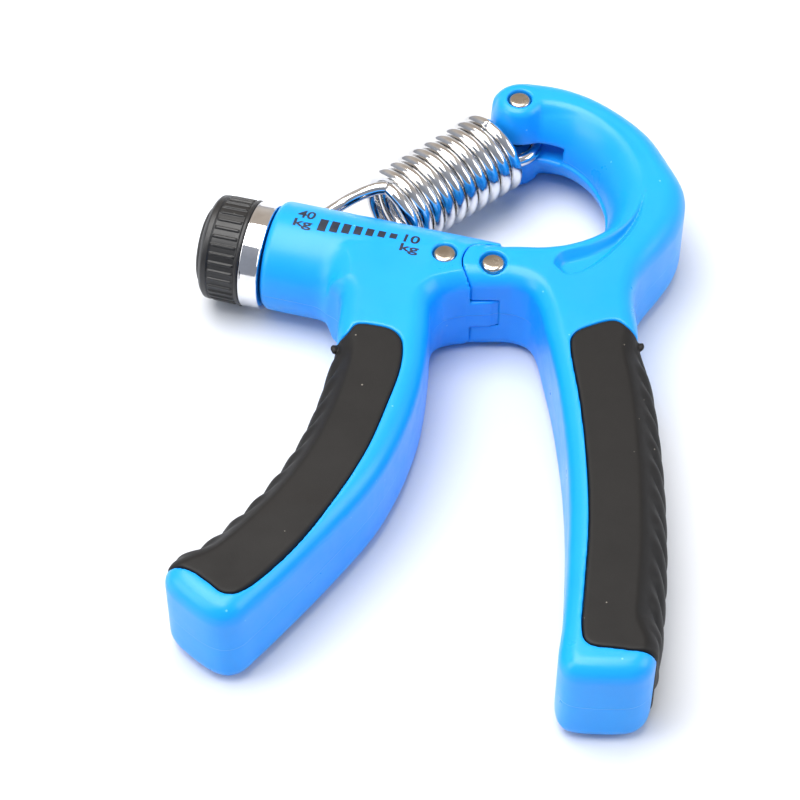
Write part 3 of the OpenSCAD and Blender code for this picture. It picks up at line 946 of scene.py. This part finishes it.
def lettering(text, s, c, height, width):
    """Numerals and units as a fine flat mesh, its corner at (s, c)."""
    data = bpy.data.curves.new("letters", "FONT")
    data.body = text
    data.offset = 0.022
    data.resolution_u = 6
    obj = bpy.data.objects.new("letters", data)
    bpy.context.scene.collection.objects.link(obj)
    bpy.context.view_layer.update()
    mesh = bpy.data.meshes.new_from_object(obj)
    work = bmesh.new()
    work.from_mesh(mesh)
    for _ in range(4):
        bmesh.ops.triangulate(work, faces=work.faces[:])
        long = [e for e in work.edges if e.calc_length() > LONGEST_EDGE]
        bmesh.ops.subdivide_edges(work, edges=long, cuts=1)
    bmesh.ops.triangulate(work, faces=work.faces[:])
    work.to_mesh(mesh)
    work.free()
    co = np.array([v.co for v in mesh.vertices], float)[:, :2]
    low, high = co.min(0), co.max(0)
    scale = np.array([width / (high[0] - low[0]), height / (high[1] - low[1])])
    plan = (co - low) * scale + np.array([s, c])
    polygons = [tuple(p.vertices) for p in mesh.polygons]
    bpy.data.objects.remove(obj)
    bpy.data.curves.remove(data)
    bpy.data.meshes.remove(mesh)
    return plan, polygons


def cell_faces(cells):
    """Faces of a square grid with this many cells a side, its points listed row by row."""
    row = cells + 1
    return [(j * row + i, j * row + i + 1, (j + 1) * row + i + 1, (j + 1) * row + i)
            for j in range(cells) for i in range(cells)]


def block(s, c, width, height, cells=4):
    """A bar of the scale, finely divided so that it follows the housing."""
    xs = np.linspace(s, s + width, cells + 1)
    ys = np.linspace(c, c + height, cells + 1)
    return [(x, y) for y in ys for x in xs], cell_faces(cells)


BARS = 7
blocks = []
for k in range(BARS):
    tall = 3.5 - 0.32 * k
    blocks.append(block(10.0 + 2.52 * k, 2.35 - tall, 1.75 - 0.04 * k, tall))
marks = printed("scale_blocks", blocks)
letters = printed("scale_numerals", [
    lettering("40", 4.9, 1.5, 2.7, 3.7), lettering("kg", 4.7, -1.7, 2.75, 4.0),
    lettering("10", 28.2, 0.5, 2.5, 3.3), lettering("kg", 28.0, -2.7, 2.75, 4.0)])
for piece in (marks, letters):
    dress(piece, INK)
    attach(piece, "left")

# ---- CAD nodes that stay -------------------------------------------------------------

for node, material in (("slider_nut", INNER), ("slider_pin", STEEL), ("adjusting_screw", STEEL),
                       ("end_bearing", INNER), ("thrust_washer", INNER), ("retaining_clip", STEEL),
                       ("knob_screw", STEEL)):
    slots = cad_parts[node].data.materials
    if not slots:
        slots.append(material)
    for k in range(len(slots)):
        slots[k] = material

# ---- Floor and light -----------------------------------------------------------------

FLOOR_SIZE, FLOOR_CELLS, FLOOR_LEVEL = 3.0, 24, -0.00002
across_floor = np.linspace(-FLOOR_SIZE / 2, FLOOR_SIZE / 2, FLOOR_CELLS + 1)
floor_points = [(x, y, FLOOR_LEVEL) for y in across_floor for x in across_floor]
floor_faces = cell_faces(FLOOR_CELLS)
floor_mesh = bpy.data.meshes.new("floor")
floor_mesh.from_pydata(floor_points, [], floor_faces)
floor = bpy.data.objects.new("floor", floor_mesh)
bpy.context.scene.collection.objects.link(floor)
floor.data.materials.append(paper())


def panel(name, place, size_x, size_y, watts, colour):
    """A soft rectangular light that faces the origin."""
    data = bpy.data.lights.new(name, "AREA")
    data.shape = "RECTANGLE"
    data.size, data.size_y = size_x, size_y
    data.energy = watts
    data.color = colour
    obj = bpy.data.objects.new(name, data)
    obj.location = place
    obj.rotation_euler = (Vector((0, 0, 0)) - Vector(place)).to_track_quat("-Z", "Y").to_euler()
    bpy.context.scene.collection.objects.link(obj)


panel("softbox_top", (-0.25, 0.08, 1.1), 1.05, 0.9, 19.5, (1.0, 0.995, 0.985))
panel("softbox_left", (-1.0, -0.25, 0.6), 0.6, 0.7, 4.5, (1.0, 1.0, 1.0))
panel("softbox_right", (1.0, -0.10, 0.6), 0.6, 0.7, 5.0, (0.97, 0.985, 1.0))

WARM_SKY = (0.0, 0.66, 0.75)   # the far, high part of the room is warmer and lighter
world = bpy.data.worlds.new("studio")
world.use_nodes = True
bpy.context.scene.world = world
tree = world.node_tree
background = tree.nodes["Background"]
place = tree.nodes.new("ShaderNodeTexCoord")
lean = tree.nodes.new("ShaderNodeVectorMath")
lean.operation = "DOT_PRODUCT"
lean.inputs[1].default_value = WARM_SKY
tree.links.new(place.outputs["Generated"], lean.inputs[0])
ramp = tree.nodes.new("ShaderNodeValToRGB")
tree.links.new(lean.outputs["Value"], ramp.inputs["Fac"])
set_stops(ramp, [(0.0, srgb(150, 156, 168)), (0.55, srgb(176, 180, 190)), (0.80, srgb(206, 198, 190)),
                 (0.97, srgb(190, 178, 166))])
tree.links.new(ramp.outputs["Color"], background.inputs["Color"])
background.inputs["Strength"].default_value = 1.0
